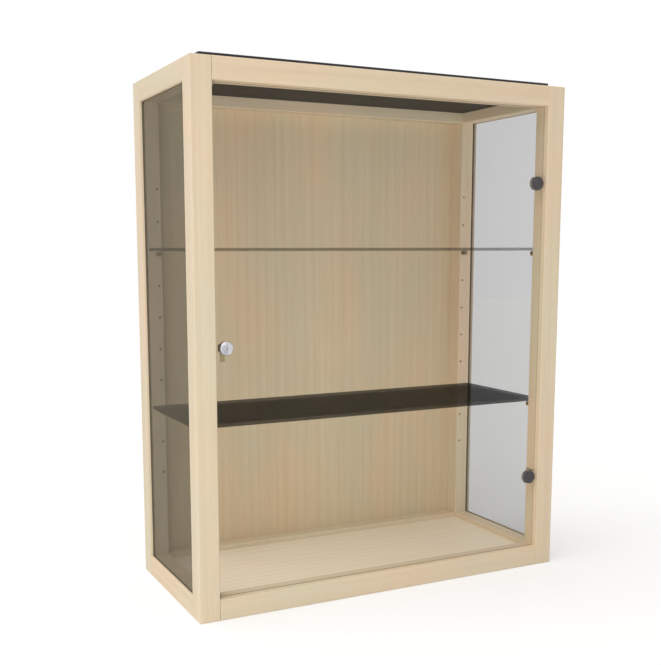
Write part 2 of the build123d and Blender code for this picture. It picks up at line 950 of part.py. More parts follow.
def all_pieces():
    """Each piece by its node's name."""
    pieces = {"frame_dowels": frame_dowels()}
    for side_name, side in SIDES.items():
        pieces[f"post_front_{side_name}"] = front_post(side)
        pieces[f"post_rear_{side_name}"] = rear_post(side)
        pieces[f"side_glass_{side_name}"] = side_glass(side)
        pieces[f"side_seal_{side_name}"] = side_seal(side)
        pieces[f"hanger_plate_{side_name}"] = hanger_plate(side)
        for level in LEVELS:
            pieces[f"rail_{level}_{side_name}"] = side_rail(side, level)
    for end_name, end in ENDS.items():
        for level in LEVELS:
            pieces[f"rail_{level}_{end_name}"] = long_rail(end, level)
    pieces["back_panel"] = back_panel()
    pieces["back_panel_screws"] = screws("back")
    pieces["floor_panel"] = floor_panel()
    pieces["ceiling_panel"] = ceiling_panel()
    pieces["top_cover"] = top_cover()
    pieces["top_cover_screws"] = screws("cover")
    for name, hole in SHELF_HOLES.items():
        pieces[f"shelf_{name}"] = shelf(hole)
        pieces[f"shelf_supports_{name}"] = shelf_supports(hole)
        pieces[f"support_pads_{name}"] = support_pads(hole)
    pieces["door_glass"] = door_glass()
    for name, height in hinge_heights.items():
        pieces[f"hinge_cap_{name}"] = hinge_cap(height)
        pieces[f"hinge_body_{name}"] = hinge_body(height)
        pieces[f"hinge_clamp_{name}"] = hinge_clamp(height)
        pieces[f"hinge_arm_{name}"] = hinge_arm(height)
    pieces["hinge_gaskets"] = hinge_gaskets()
    pieces["hinge_pins"] = hinge_pins()
    pieces["hinge_clamp_screws"] = screws("clamp")
    pieces["hinge_arm_screws"] = screws("hinge_leaf")
    pieces["lock_housing"] = lock_housing()
    pieces["lock_gasket"] = lock_gasket()
    pieces["lock_washer"] = lock_washer()
    pieces["lock_nut"] = lock_nut()
    pieces["lock_plug"] = lock_plug()
    pieces["lock_cam"] = lock_cam()
    pieces["lock_cam_screw"] = cam_screw()
    pieces["strike_plate"] = strike_plate()
    pieces["strike_screws"] = screws("strike")
    pieces["door_stops"] = door_stops()
    pieces["hanger_screws"] = screws("hanger")
    return pieces


os.makedirs("parts", exist_ok=True)
for node, shape in all_pieces().items():
    export_step(shape, f"parts/{node}.step")
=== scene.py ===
"""Looks of the hanging display cabinet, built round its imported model, in metres."""

import logging
import math
from dataclasses import dataclass
from enum import Enum
from typing import Iterable

import bmesh
import bpy
from mathutils import Euler, Matrix, Vector


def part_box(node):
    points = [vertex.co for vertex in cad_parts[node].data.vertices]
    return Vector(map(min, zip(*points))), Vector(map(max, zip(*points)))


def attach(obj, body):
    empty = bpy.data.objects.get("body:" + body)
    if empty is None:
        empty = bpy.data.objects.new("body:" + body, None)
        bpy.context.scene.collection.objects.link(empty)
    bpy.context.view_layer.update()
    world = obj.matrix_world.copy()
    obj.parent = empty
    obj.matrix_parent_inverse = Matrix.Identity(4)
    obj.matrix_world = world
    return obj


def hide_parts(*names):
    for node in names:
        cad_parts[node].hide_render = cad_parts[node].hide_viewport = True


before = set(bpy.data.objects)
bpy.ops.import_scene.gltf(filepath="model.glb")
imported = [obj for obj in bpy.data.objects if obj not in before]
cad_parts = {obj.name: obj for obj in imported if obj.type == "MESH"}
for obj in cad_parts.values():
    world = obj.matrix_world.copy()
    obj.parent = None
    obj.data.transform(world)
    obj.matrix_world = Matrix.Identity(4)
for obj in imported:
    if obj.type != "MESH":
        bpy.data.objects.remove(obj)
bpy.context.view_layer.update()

LOG = logging.getLogger("display_cabinet")
MM = 0.001

SHARP_EDGE = 32.0
LATHE_STEPS = 96

Colour = tuple[float, float, float]
Place = tuple[float, float, float]
Shade = tuple[float, float, float, float]
Socket = bpy.types.NodeSocket
Material = bpy.types.Material
Piece = bpy.types.Object

WHITE: Shade = (1.0, 1.0, 1.0, 1.0)
ZINC: Colour = (196, 192, 180)
SATIN_STEEL: Colour = (196, 194, 188)
CLEAR_PLASTIC: Colour = (206, 208, 204)
# Grey of the rubber channels, set paler to make up for the shade in the channels: partly the rubber's own
# grey, partly painted light.
GREY_RUBBER_AND_PAINTED_LIGHT: Colour = (158, 150, 136)


class Axis(Enum):
    """One of the three directions of the frame."""

    X = 0
    Y = 1
    Z = 2


class Facing(Enum):
    """The side that the head of a screw or the face of a knob looks to."""

    FRONT = (0.0, -1.0, 0.0)
    REAR = (0.0, 1.0, 0.0)
    LEFT = (-1.0, 0.0, 0.0)
    RIGHT = (1.0, 0.0, 0.0)
    TOP = (0.0, 0.0, 1.0)


class Body(Enum):
    """The bodies that rebuilt pieces ride on."""

    CABINET = "cabinet"
    DOOR = "door"


def linear(colour: Colour) -> Shade:
    """Turns a screen colour into the one that shaders take.

    Args:
        colour: Red, green and blue from 0 to 255.

    Returns:
        Linear red, green and blue, and an alpha of one.
    """
    shares = (value / 255 for value in colour)
    steps = (s / 12.92 if s <= 0.04045 else ((s + 0.055) / 1.055) ** 2.4 for s in shares)
    return (*steps, 1.0)


def grey(level: float) -> Shade:
    """Gives a plain grey as shaders take it.

    Args:
        level: Its linear brightness.

    Returns:
        The grey, with an alpha of one.
    """
    return (level, level, level, 1.0)


# Node trees


class Sketch:
    """Adds and joins the nodes of one tree."""

    def __init__(self, tree: bpy.types.NodeTree) -> None:
        """Starts on a tree.

        Args:
            tree: The tree that takes the nodes.
        """
        self.tree = tree

    def feed(self, socket: Socket, value: object) -> None:
        """Links a socket to another one or sets its value.

        Args:
            socket: The input.
            value: An output to link, or a plain value.
        """
        if isinstance(value, Socket):
            self.tree.links.new(value, socket)
        else:
            socket.default_value = value

    def node(self, kind: str, settings: dict | None = None, inputs: dict | None = None) -> bpy.types.Node:
        """Adds a node.

        Args:
            kind: The node's type name.
            settings: Its own settings by name.
            inputs: Values or outputs for its inputs, by name or number.

        Returns:
            The node.
        """
        made = self.tree.nodes.new(kind)
        for name, value in (settings or {}).items():
            setattr(made, name, value)
        for key, value in (inputs or {}).items():
            self.feed(self.pick(made.inputs, key), value)
        return made

    @staticmethod
    def pick(sockets: bpy.types.NodeInputs, key: str | int) -> Socket:
        """Finds a socket by number, or the one in use among those of one name.

        Args:
            sockets: A node's inputs or outputs.
            key: The number or the name.

        Returns:
            The socket.
        """
        if isinstance(key, int):
            return sockets[key]
        return next(s for s in sockets if s.name == key and s.enabled)

    def math(self, operation: str, first: object, second: object = 0.0) -> Socket:
        """Adds a sum, product, power or the like.

        Args:
            operation: The operation's name.
            first: Its first value.
            second: Its second value, where it has one.

        Returns:
            The result.
        """
        return self.node("ShaderNodeMath", {"operation": operation}, {0: first, 1: second}).outputs[0]

    def span(self, value: object, low: float, high: float, start: object = 0.0, end: object = 1.0) -> Socket:
        """Maps the part of a value between two limits onto another span.

        Args:
            value: The value.
            low: Its lower limit.
            high: Its upper limit.
            start: The result at the lower limit.
            end: The result at the upper limit.

        Returns:
            The result, held within its span.
        """
        limits = {0: value, 1: low, 2: high, 3: start, 4: end}
        return self.node("ShaderNodeMapRange", {"clamp": True}, limits).outputs[0]


class ShaderSketch(Sketch):
    """Adds and joins the nodes of one material."""

    def __init__(self, name: str) -> None:
        """Makes an empty material.

        Args:
            name: The material's name.
        """
        self.material = bpy.data.materials.new(name)
        self.material.use_nodes = True
        super().__init__(self.material.node_tree)
        self.tree.nodes.clear()
        self.output = self.node("ShaderNodeOutputMaterial")
        self.object_place = self.node("ShaderNodeTexCoord").outputs["Object"]

    def place(
        self,
        scale: Iterable[float],
        shift: Iterable[float] = (0, 0, 0),
        turn: Iterable[float] = (0, 0, 0),
    ) -> Socket:
        """Gives the place on the piece, stretched, turned and moved.

        Args:
            scale: Scale along each axis.
            shift: The move.
            turn: The turn about each axis in radians.

        Returns:
            The place.
        """
        inputs = {"Vector": self.object_place, "Scale": tuple(scale)}
        inputs |= {"Location": tuple(shift), "Rotation": tuple(turn)}
        return self.node("ShaderNodeMapping", {"vector_type": "POINT"}, inputs).outputs[0]

    def noise(
        self,
        place: Socket,
        scale: float,
        detail: float,
        roughness: float,
        distortion: float = 0.0,
    ) -> Socket:
        """Adds a cloudy pattern.

        Args:
            place: Where the pattern is read.
            scale: How fine it is.
            detail: How many finer layers it has.
            roughness: How strong these are.
            distortion: How far it is stirred.

        Returns:
            Its value, about one half on average.
        """
        inputs = {"Vector": place, "Scale": scale, "Detail": detail}
        inputs |= {"Roughness": roughness, "Distortion": distortion}
        return self.node("ShaderNodeTexNoise", {"noise_dimensions": "3D"}, inputs).outputs[0]

    def blend(self, share: object, low: object, high: object) -> Socket:
        """Mixes two colours.

        Args:
            share: The share of the second.
            low: The first colour.
            high: The second colour.

        Returns:
            The mixed colour.
        """
        inputs = {0: share, 6: low, 7: high}
        return self.node("ShaderNodeMix", {"data_type": "RGBA"}, inputs).outputs[2]

    def bump(self, height: object, strength: float, distance: float) -> Socket:
        """Adds fine relief.

        Args:
            height: The relief's height.
            strength: Its strength.
            distance: What a height of one stands for, in metres.

        Returns:
            The bent normal.
        """
        inputs = {"Strength": strength, "Distance": distance, "Height": height}
        return self.node("ShaderNodeBump", None, inputs).outputs[0]

    def coated(self, inputs: dict) -> Socket:
        """Adds the main surface shader.

        Args:
            inputs: Values or outputs for its inputs.

        Returns:
            The shader.
        """
        return self.node("ShaderNodeBsdfPrincipled", None, inputs).outputs[0]

    def close(self, shader: Socket) -> Material:
        """Ends the material with a shader.

        Args:
            shader: The shader.

        Returns:
            The material.
        """
        self.feed(self.output.inputs["Surface"], shader)
        return self.material

    def veiled(self, share: Socket, shader: Socket) -> Material:
        """Ends the material with a shader that covers only a share of the surface.

        Args:
            share: The share that it covers.
            shader: The shader.

        Returns:
            The material.
        """
        clear = self.node("ShaderNodeBsdfTransparent", None, {"Color": WHITE}).outputs[0]
        mixed = self.node("ShaderNodeMixShader", None, {0: share, 1: clear, 2: shader})
        return self.close(mixed.outputs[0])


# Finishes


@dataclass(frozen=True)
class Maple:
    """Pale maple with a satin lacquer, as a pattern through the whole timber."""

    name: str
    grain: Axis
    seed: int
    figure: float = 1.0
    tilt: float = 0.0
    cool: Colour = (221, 209, 180)
    warm: Colour = (230, 206, 177)
    dark: Colour = (196, 171, 137)
    pale: Colour = (235, 220, 194)
    upright_heart: Place = (0.031, -0.047, 0.0)
    level_heart: Place = (0.0, 0.052, -0.037)
    cloud_scale: float = 9.0
    streak_scale: float = 150.0
    fibre_scale: float = 1100.0
    pore_scale: float = 1500.0
    ring_share: float = 0.12
    bright_share: float = 0.25
    deep_share: float = 0.15
    fibre_share: float = 0.1
    fleck_share: float = 0.3

    def stretch(self, along: float) -> tuple[float, float, float]:
        """Scales of a pattern that is drawn out along the grain.

        Args:
            along: Its scale along the grain.

        Returns:
            The scale along each axis.
        """
        return tuple(along if axis is self.grain else 1.0 for axis in Axis)

    def rings(self, sketch: ShaderSketch, centre: Vector) -> Socket:
        """Draws the year rings round a heart that lies beside the timber.

        Args:
            sketch: The material's nodes.
            centre: The middle of the piece.

        Returns:
            A value that peaks at each ring's dark line.
        """
        scale = self.stretch(0.16)
        heart = Vector(self.upright_heart if self.grain is Axis.Z else self.level_heart)
        heart = heart + Vector((0.004, 0.003, 0.005)) * (self.seed % 5)
        shift = [-(c + h) * s for c, h, s in zip(centre, heart, scale)]
        turn = (self.tilt, self.tilt * 0.6, 0.0)
        inputs = {
            "Vector": sketch.place(scale, shift, turn),
            "Scale": 13.0 + 2.0 * (self.seed % 3),
            "Distortion": 3.2,
            "Detail": 3.0,
            "Detail Scale": 0.9,
            "Detail Roughness": 0.55,
        }
        settings = {"wave_type": "RINGS", "rings_direction": self.grain.name, "wave_profile": "SIN"}
        wave = sketch.node("ShaderNodeTexWave", settings, inputs).outputs[1]
        return sketch.math("POWER", wave, 2.5)

    def material(self, centre: Vector) -> Material:
        """Makes the material of one piece.

        Args:
            centre: The middle of the piece.

        Returns:
            The material.
        """
        sketch = ShaderSketch(self.name)
        shift = Vector((1.7, 2.3, 3.1)) * self.seed
        clouds = sketch.noise(sketch.place(self.stretch(0.34), shift), self.cloud_scale, 4.0, 0.55)
        ground = sketch.blend(sketch.span(clouds, 0.36, 0.64), linear(self.cool), linear(self.warm))
        rings = self.rings(sketch, centre)
        drawn = sketch.math("MULTIPLY", rings, self.ring_share * self.figure)
        shade = sketch.blend(drawn, ground, linear(self.dark))
        streaks = sketch.noise(sketch.place(self.stretch(0.022), shift * 0.7), self.streak_scale, 5.0, 0.62)
        bright = sketch.math("MULTIPLY", sketch.span(streaks, 0.5, 0.72), self.bright_share)
        shade = sketch.blend(bright, shade, linear(self.pale))
        deep = sketch.math("MULTIPLY", sketch.span(streaks, 0.5, 0.28), self.deep_share)
        shade = sketch.blend(deep, shade, linear(self.dark))
        fibres = sketch.noise(sketch.place(self.stretch(0.03), shift * 0.3), self.fibre_scale, 3.0, 0.6)
        shade = sketch.blend(sketch.span(fibres, 0.35, 0.7, self.fibre_share, 0.0), shade, linear(self.dark))
        pores = sketch.noise(sketch.place(self.stretch(0.055), shift * 0.5), self.pore_scale, 1.0, 0.4)
        fleck = sketch.span(pores, 0.66, 0.76)
        shade = sketch.blend(sketch.math("MULTIPLY", fleck, self.fleck_share), shade, linear(self.dark))
        relief = sketch.math("SUBTRACT", fibres, sketch.math("MULTIPLY", fleck, 0.8))
        rough = sketch.span(sketch.math("ADD", fibres, rings), 0.3, 1.4, 0.4, 0.52)
        surface = {
            "Base Color": shade,
            "Roughness": rough,
            "Specular IOR Level": 0.35,
            "Normal": sketch.bump(relief, 0.22, 0.0004),
        }
        return sketch.close(sketch.coated(surface))


@dataclass(frozen=True)
class BlackLaminate:
    """Black board with a finely pebbled face."""

    name: str
    colour: Colour
    seed: int
    cloud_scale: float = 14.0
    pebble_scale: float = 1300.0
    scuff_scale: float = 220.0

    def material(self) -> Material:
        """Makes the material.

        Returns:
            The material.
        """
        sketch = ShaderSketch(self.name)
        shift = Vector((2.1, 0.7, 1.9)) * (self.seed + 1)
        clouds = sketch.noise(sketch.place((1, 1, 1), shift), self.cloud_scale, 4.0, 0.6)
        pebbles = sketch.noise(sketch.place((1, 1, 1), shift), self.pebble_scale, 2.0, 0.5)
        scuffs = sketch.noise(sketch.place((0.15, 1, 1), shift), self.scuff_scale, 5.0, 0.7, 0.6)
        colour = linear(self.colour)
        lighter = linear(tuple(value * 1.16 for value in self.colour))
        darker = linear(tuple(value * 0.88 for value in self.colour))
        shade = sketch.blend(sketch.span(clouds, 0.35, 0.65), darker, colour)
        shade = sketch.blend(sketch.math("MULTIPLY", sketch.span(scuffs, 0.6, 0.75), 0.5), shade, lighter)
        worn = sketch.math("ADD", pebbles, sketch.math("MULTIPLY", scuffs, 0.6))
        rough = sketch.span(worn, 0.5, 1.1, 0.46, 0.62)
        surface = {
            "Base Color": shade,
            "Roughness": rough,
            "Specular IOR Level": 0.35,
            "Normal": sketch.bump(pebbles, 0.25, 0.0003),
        }
        return sketch.close(sketch.coated(surface))


@dataclass(frozen=True)
class ClearGlass:
    """Polished glass that is clear from the front and turns to a dark colour at a flat angle, a painted shade
    and dark reflection.
    """

    name: str
    veil: float = 0.04
    rise: float = 2.0
    bend: float = 1.04
    edge: float = 0.0
    # body is a painted shade and dark reflection: the glass shows more of it the flatter it is seen, and a
    # share of veil of it even from the front.
    body: Colour = (22, 23, 22)
    smear_scale: float = 11.0
    worn_share: float = 0.95

    def material(self) -> Material:
        """Makes the material.

        Returns:
            The material.
        """
        sketch = ShaderSketch(self.name)
        facing = sketch.node("ShaderNodeLayerWeight", None, {"Blend": 0.5}).outputs["Facing"]
        rise = sketch.math("POWER", facing, self.rise)
        smears = sketch.noise(sketch.place((1, 1, 0.5)), self.smear_scale, 4.0, 0.6, 0.8)
        rise = sketch.math("MULTIPLY", rise, sketch.span(smears, 0.3, 0.7, 0.985, 1.015))
        share = sketch.span(rise, 0.0, 1.0, self.veil, 1.0)
        if self.edge:
            way = sketch.node("ShaderNodeTexCoord").outputs["Normal"]
            level = sketch.math("ABSOLUTE", sketch.node("ShaderNodeSeparateXYZ", None, {0: way}).outputs[2])
            rim = sketch.span(level, 0.35, 0.9, self.edge, 0.0)
            share = sketch.math("MAXIMUM", share, rim)
        worn = tuple(self.worn_share * part for part in self.body)
        # The base colour is this painted shade and dark reflection, varied a little by smears.
        painted_shade_and_reflection = sketch.blend(sketch.span(smears, 0.35, 0.65), linear(self.body), linear(worn))
        surface = {
            "Base Color": painted_shade_and_reflection,
            "Roughness": sketch.span(smears, 0.35, 0.7, 0.03, 0.07),
            "IOR": self.bend,
        }
        return sketch.veiled(share, sketch.coated(surface))


@dataclass(frozen=True)
class SoftPlastic:
    """Rubber, or the clear soft plastic of pads where it lets light through."""

    name: str
    colour: Colour
    cover: float = 1.0
    rough: float = 0.6
    grain_scale: float = 2600.0
    bloom_scale: float = 60.0

    def material(self) -> Material:
        """Makes the material.

        Returns:
            The material.
        """
        sketch = ShaderSketch(self.name)
        grains = sketch.noise(sketch.place((1, 1, 1)), self.grain_scale, 2.0, 0.6)
        bloom = sketch.noise(sketch.place((1, 1, 0.4)), self.bloom_scale, 4.0, 0.6)
        lighter = linear(tuple(min(255.0, value * 1.2 + 5) for value in self.colour))
        shade = sketch.blend(sketch.span(bloom, 0.4, 0.75, 0.0, 0.6), linear(self.colour), lighter)
        surface = {
            "Base Color": shade,
            "Roughness": sketch.span(grains, 0.3, 0.7, self.rough - 0.08, self.rough + 0.08),
            "Specular IOR Level": 0.4,
            "Normal": sketch.bump(grains, 0.3, 0.0002),
        }
        shader = sketch.coated(surface)
        if self.cover >= 1.0:
            return sketch.close(shader)
        facing = sketch.node("ShaderNodeLayerWeight", None, {"Blend": 0.5}).outputs["Facing"]
        share = sketch.span(facing, 0.0, 1.0, self.cover, 1.0)
        return sketch.veiled(share, shader)


@dataclass(frozen=True)
class Metal:
    """Brushed, turned, plated or coated metal."""

    name: str
    colour: Colour
    rough: float
    brushed: Axis | None = None
    metallic: float = 1.0
    wear: float = 0.12
    least_rough: float = 0.04
    line_scale: float = 2400.0
    cloud_scale: float = 90.0

    def material(self) -> Material:
        """Makes the material.

        Returns:
            The material.
        """
        sketch = ShaderSketch(self.name)
        scale = tuple(0.02 if axis is self.brushed else 1.0 for axis in Axis)
        lines = sketch.noise(sketch.place(scale), self.line_scale, 3.0, 0.6)
        clouds = sketch.noise(sketch.place((1, 1, 1), (0.3, 0.8, 0.1)), self.cloud_scale, 4.0, 0.6)
        lighter = linear(tuple(min(255.0, value * 1.08 + 6) for value in self.colour))
        darker = linear(tuple(value * 0.86 for value in self.colour))
        shade = sketch.blend(sketch.span(clouds, 0.35, 0.7), darker, linear(self.colour))
        shine = sketch.math("MULTIPLY", sketch.span(lines, 0.5, 0.8), self.wear * 3)
        shade = sketch.blend(shine, shade, lighter)
        smooth = max(self.least_rough, self.rough - self.wear)
        spread = sketch.math("ADD", sketch.math("MULTIPLY", lines, 0.6), sketch.math("MULTIPLY", clouds, 0.4))
        surface = {
            "Base Color": shade,
            "Metallic": self.metallic,
            "Roughness": sketch.span(spread, 0.3, 0.7, smooth, self.rough + self.wear),
            "Normal": sketch.bump(lines, 0.12, 0.0001),
        }
        return sketch.close(sketch.coated(surface))


# Meshes


def solids_of(node: str) -> list[tuple[Vector, Vector]]:
    """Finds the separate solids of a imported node.

    Args:
        node: The node's name.

    Returns:
        The lowest and highest corner of each.
    """
    shape = bmesh.new()
    shape.from_mesh(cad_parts[node].data)
    bmesh.ops.remove_doubles(shape, verts=shape.verts, dist=1e-6)
    left, boxes = set(shape.verts), []
    while left:
        front = [left.pop()]
        found = list(front)
        while front:
            point = front.pop()
            near = {edge.other_vert(point) for edge in point.link_edges} & left
            left -= near
            front += near
            found += near
        low = Vector(min(vert.co[axis] for vert in found) for axis in range(3))
        high = Vector(max(vert.co[axis] for vert in found) for axis in range(3))
        boxes.append((low, high))
    shape.free()
    return sorted(boxes, key=lambda box: tuple(round(value, 5) for value in (*box[0], *box[1])))


def centre_of(node: str) -> Vector:
    """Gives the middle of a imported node.

    Args:
        node: The node's name.

    Returns:
        The middle of its box.
    """
    low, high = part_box(node)
    return (low + high) / 2


def settle(shape: bmesh.types.BMesh, name: str, material: Material) -> Piece:
    """Turns a shape into an object at the origin, smooth but for its sharp edges.

    Args:
        shape: The finished shape, which is used up.
        name: The piece's name.
        material: Its finish.

    Returns:
        The object.
    """
    limit = math.radians(SHARP_EDGE)
    for face in shape.faces:
        face.smooth = True
    for edge in shape.edges:
        edge.smooth = len(edge.link_faces) != 2 or edge.calc_face_angle(0.0) < limit
    mesh = bpy.data.meshes.new(name)
    shape.to_mesh(mesh)
    shape.free()
    mesh.materials.clear()
    mesh.materials.append(material)
    piece = bpy.data.objects.new(name, mesh)
    bpy.context.scene.collection.objects.link(piece)
    return piece


def turned(
    name: str,
    outline: list[tuple[float, float]],
    centre: Vector,
    facing: Facing,
    material: Material,
    closed: bool = False,
) -> Piece:
    """Turns an outline about an axis, as on a lathe.

    Args:
        name: The piece's name.
        outline: Radius and height of each point, in metres.
        centre: Where the axis starts.
        facing: Where the heights lead.
        material: The finish.
        closed: Whether the last point joins the first.

    Returns:
        The piece.
    """
    shape = bmesh.new()
    rings = []
    for radius, height in outline:
        if radius < 1e-7:
            rings.append([shape.verts.new((0.0, 0.0, height))])
            continue
        angles = [math.tau * n / LATHE_STEPS for n in range(LATHE_STEPS)]
        rings.append([shape.verts.new((radius * math.cos(a), radius * math.sin(a), height)) for a in angles])
    pairs = list(zip(rings, rings[1:]))
    if closed:
        pairs.append((rings[-1], rings[0]))
    for lower, upper in pairs:
        for n in range(LATHE_STEPS):
            after = (n + 1) % LATHE_STEPS
            corners = [lower[n % len(lower)], upper[n % len(upper)]]
            corners += [upper[after % len(upper)], lower[after % len(lower)]]
            shape.faces.new(list(dict.fromkeys(corners)))
    bmesh.ops.recalc_face_normals(shape, faces=shape.faces)
    turn = Vector(facing.value).to_track_quat("Z", "Y").to_matrix().to_4x4()
    shape.transform(Matrix.Translation(centre) @ turn)
    return settle(shape, name, material)


def rounding(radius: float, height: float, size: float, steps: int = 8) -> list[tuple[float, float]]:
    """Points of a rounded rim, from the side to the face.

    Args:
        radius: The outer radius.
        height: The height of the face.
        size: The rounding.
        steps: How many points it has.

    Returns:
        Radius and height of each point.
    """
    angles = [math.pi / 2 * n / steps for n in range(steps + 1)]
    return [(radius - size + size * math.cos(a), height - size + size * math.sin(a)) for a in angles]


def let_light_through(node: str) -> None:
    """Keeps a glass node out of the way of shadows and of scattered light.

    Args:
        node: The node's name.
    """
    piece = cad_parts[node]
    piece.visible_shadow = False
    piece.visible_diffuse = False


def dress(node: str, material: Material) -> None:
    """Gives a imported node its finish.

    Args:
        node: The node's name.
        material: The finish.
    """
    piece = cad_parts[node]
    if not piece.material_slots:
        piece.data.materials.append(None)
    for slot in piece.material_slots:
        slot.material = material


# Repeated pieces


class FieldSketch(Sketch):
    """A node tree that sets one shape at every marked place."""

    def __init__(self, name: str, sizes: dict[str, float]) -> None:
        """Makes the tree with its named inputs.

        Args:
            name: The tree's name.
            sizes: The shape's sizes by name, in metres.
        """
        super().__init__(bpy.data.node_groups.new(name, "GeometryNodeTree"))
        self.sizes = sizes
        sockets = {"Places": "Geometry", **{label: "Float" for label in sizes}}
        sockets |= {"Largest Turn": "Float", "Turn Seed": "Int", "Finish": "Material"}
        for label, kind in sockets.items():
            self.tree.interface.new_socket(label, in_out="INPUT", socket_type="NodeSocket" + kind)
        self.tree.interface.new_socket("Pieces", in_out="OUTPUT", socket_type="NodeSocketGeometry")
        self.inputs = self.node("NodeGroupInput").outputs
        self.exit = self.node("NodeGroupOutput")

    def vector(self, x: object = 0.0, y: object = 0.0, z: object = 0.0) -> Socket:
        """Joins three values to a vector.

        Args:
            x: The first value.
            y: The second value.
            z: The third value.

        Returns:
            The vector.
        """
        return self.node("ShaderNodeCombineXYZ", None, {0: x, 1: y, 2: z}).outputs[0]

    def minus(self, value: object) -> Socket:
        """Turns a value's sign round.

        Args:
            value: The value.

        Returns:
            The result.
        """
        return self.math("MULTIPLY", value, -1.0)

    def depth_below(self) -> Socket:
        """Measures how far a point lies below the origin.

        Returns:
            The depth.
        """
        place = self.node("GeometryNodeInputPosition").outputs[0]
        return self.minus(self.node("ShaderNodeSeparateXYZ", None, {0: place}).outputs[2])

    def turned_along(self, top: object, bottom: object, radius: object, points: int, around: int) -> Socket:
        """Turns a round body about the vertical axis.

        Args:
            top: Height of its upper end.
            bottom: Height of its lower end.
            radius: Radius at each point.
            points: How many points the line has.
            around: How many faces go round.

        Returns:
            The closed body.
        """
        ends = {"Start": self.vector(z=top), "End": self.vector(z=bottom)}
        line = self.node("GeometryNodeCurvePrimitiveLine", None, ends).outputs[0]
        line = self.node("GeometryNodeResampleCurve", None, {"Curve": line, "Count": points}).outputs[0]
        circle = {"Resolution": around, "Radius": 1.0}
        ring = self.node("GeometryNodeCurvePrimitiveCircle", None, circle).outputs[0]
        inputs = {"Curve": line, "Profile Curve": ring, "Fill Caps": True}
        sweep = self.node("GeometryNodeCurveToMesh")
        if "Scale" in sweep.inputs:
            inputs["Scale"] = radius
        else:
            thick = {"Curve": line, "Radius": radius}
            inputs["Curve"] = self.node("GeometryNodeSetCurveRadius", None, thick).outputs[0]
        for key, value in inputs.items():
            self.feed(sweep.inputs[key], value)
        return sweep.outputs[0]

    def scatter(self, shape: Socket) -> None:
        """Sets the shape at each place, with its own turn, and ends the tree.

        Args:
            shape: The shape, which looks up.
        """
        settings = {"data_type": "FLOAT_VECTOR"}
        heading = self.node("GeometryNodeInputNamedAttribute", settings, {"Name": "heading"})
        angles = self.pick(heading.outputs, "Attribute")
        base = self.node("FunctionNodeEulerToRotation", None, {0: angles}).outputs[0]
        limits = {"Min": 0.0, "Max": self.inputs["Largest Turn"], "Seed": self.inputs["Turn Seed"]}
        angle = self.node("FunctionNodeRandomValue", {"data_type": "FLOAT"}, limits)
        angle = self.pick(angle.outputs, "Value")
        spin = {"Axis": (0.0, 0.0, 1.0), "Angle": angle}
        turn = self.node("FunctionNodeAxisAngleToRotation", None, spin).outputs[0]
        inputs = {"Rotation": base, "Rotate By": turn}
        turned_base = self.node("FunctionNodeRotateRotation", {"rotation_space": "LOCAL"}, inputs).outputs[0]
        inputs = {"Points": self.inputs["Places"], "Instance": shape, "Rotation": turned_base}
        copies = self.node("GeometryNodeInstanceOnPoints", None, inputs).outputs[0]
        real = self.node("GeometryNodeRealizeInstances", None, {"Geometry": copies}).outputs[0]
        inputs = {"Geometry": real, "Material": self.inputs["Finish"]}
        done = self.node("GeometryNodeSetMaterial", None, inputs)
        self.feed(self.exit.inputs[0], done.outputs[0])

    def grow(
        self,
        name: str,
        places: list[tuple[Vector, Euler]],
        finish: Material,
        turn: float = 0.0,
        seed: int = 0,
    ) -> Piece:
        """Runs the tree and keeps its result as one plain mesh.

        Args:
            name: The piece's name.
            places: Where each copy goes and how it is turned.
            finish: The finish.
            turn: The largest turn of a copy about its own axis, in radians.
            seed: The seed of these turns.

        Returns:
            The piece.
        """
        marks = bpy.data.meshes.new(name + "_places")
        marks.from_pydata([place for place, _ in places], [], [])
        heading = marks.attributes.new("heading", "FLOAT_VECTOR", "POINT")
        for item, (_, angles) in zip(heading.data, places):
            item.vector = Vector(angles)
        host = bpy.data.objects.new(name + "_places", marks)
        bpy.context.scene.collection.objects.link(host)
        modifier = host.modifiers.new("Pieces", "NODES")
        modifier.node_group = self.tree
        values = {**self.sizes, "Largest Turn": turn, "Turn Seed": seed, "Finish": finish}
        for item in self.tree.interface.items_tree:
            if item.in_out == "INPUT" and item.name in values:
                modifier[item.identifier] = values[item.name]
        graph = bpy.context.evaluated_depsgraph_get()
        result = bpy.data.meshes.new_from_object(host.evaluated_get(graph), depsgraph=graph)
        host.modifiers.remove(modifier)
        bpy.data.objects.remove(host)
        bpy.data.node_groups.remove(self.tree)
        shape = bmesh.new()
        shape.from_mesh(result)
        bpy.data.meshes.remove(result)
        return settle(shape, name, finish)


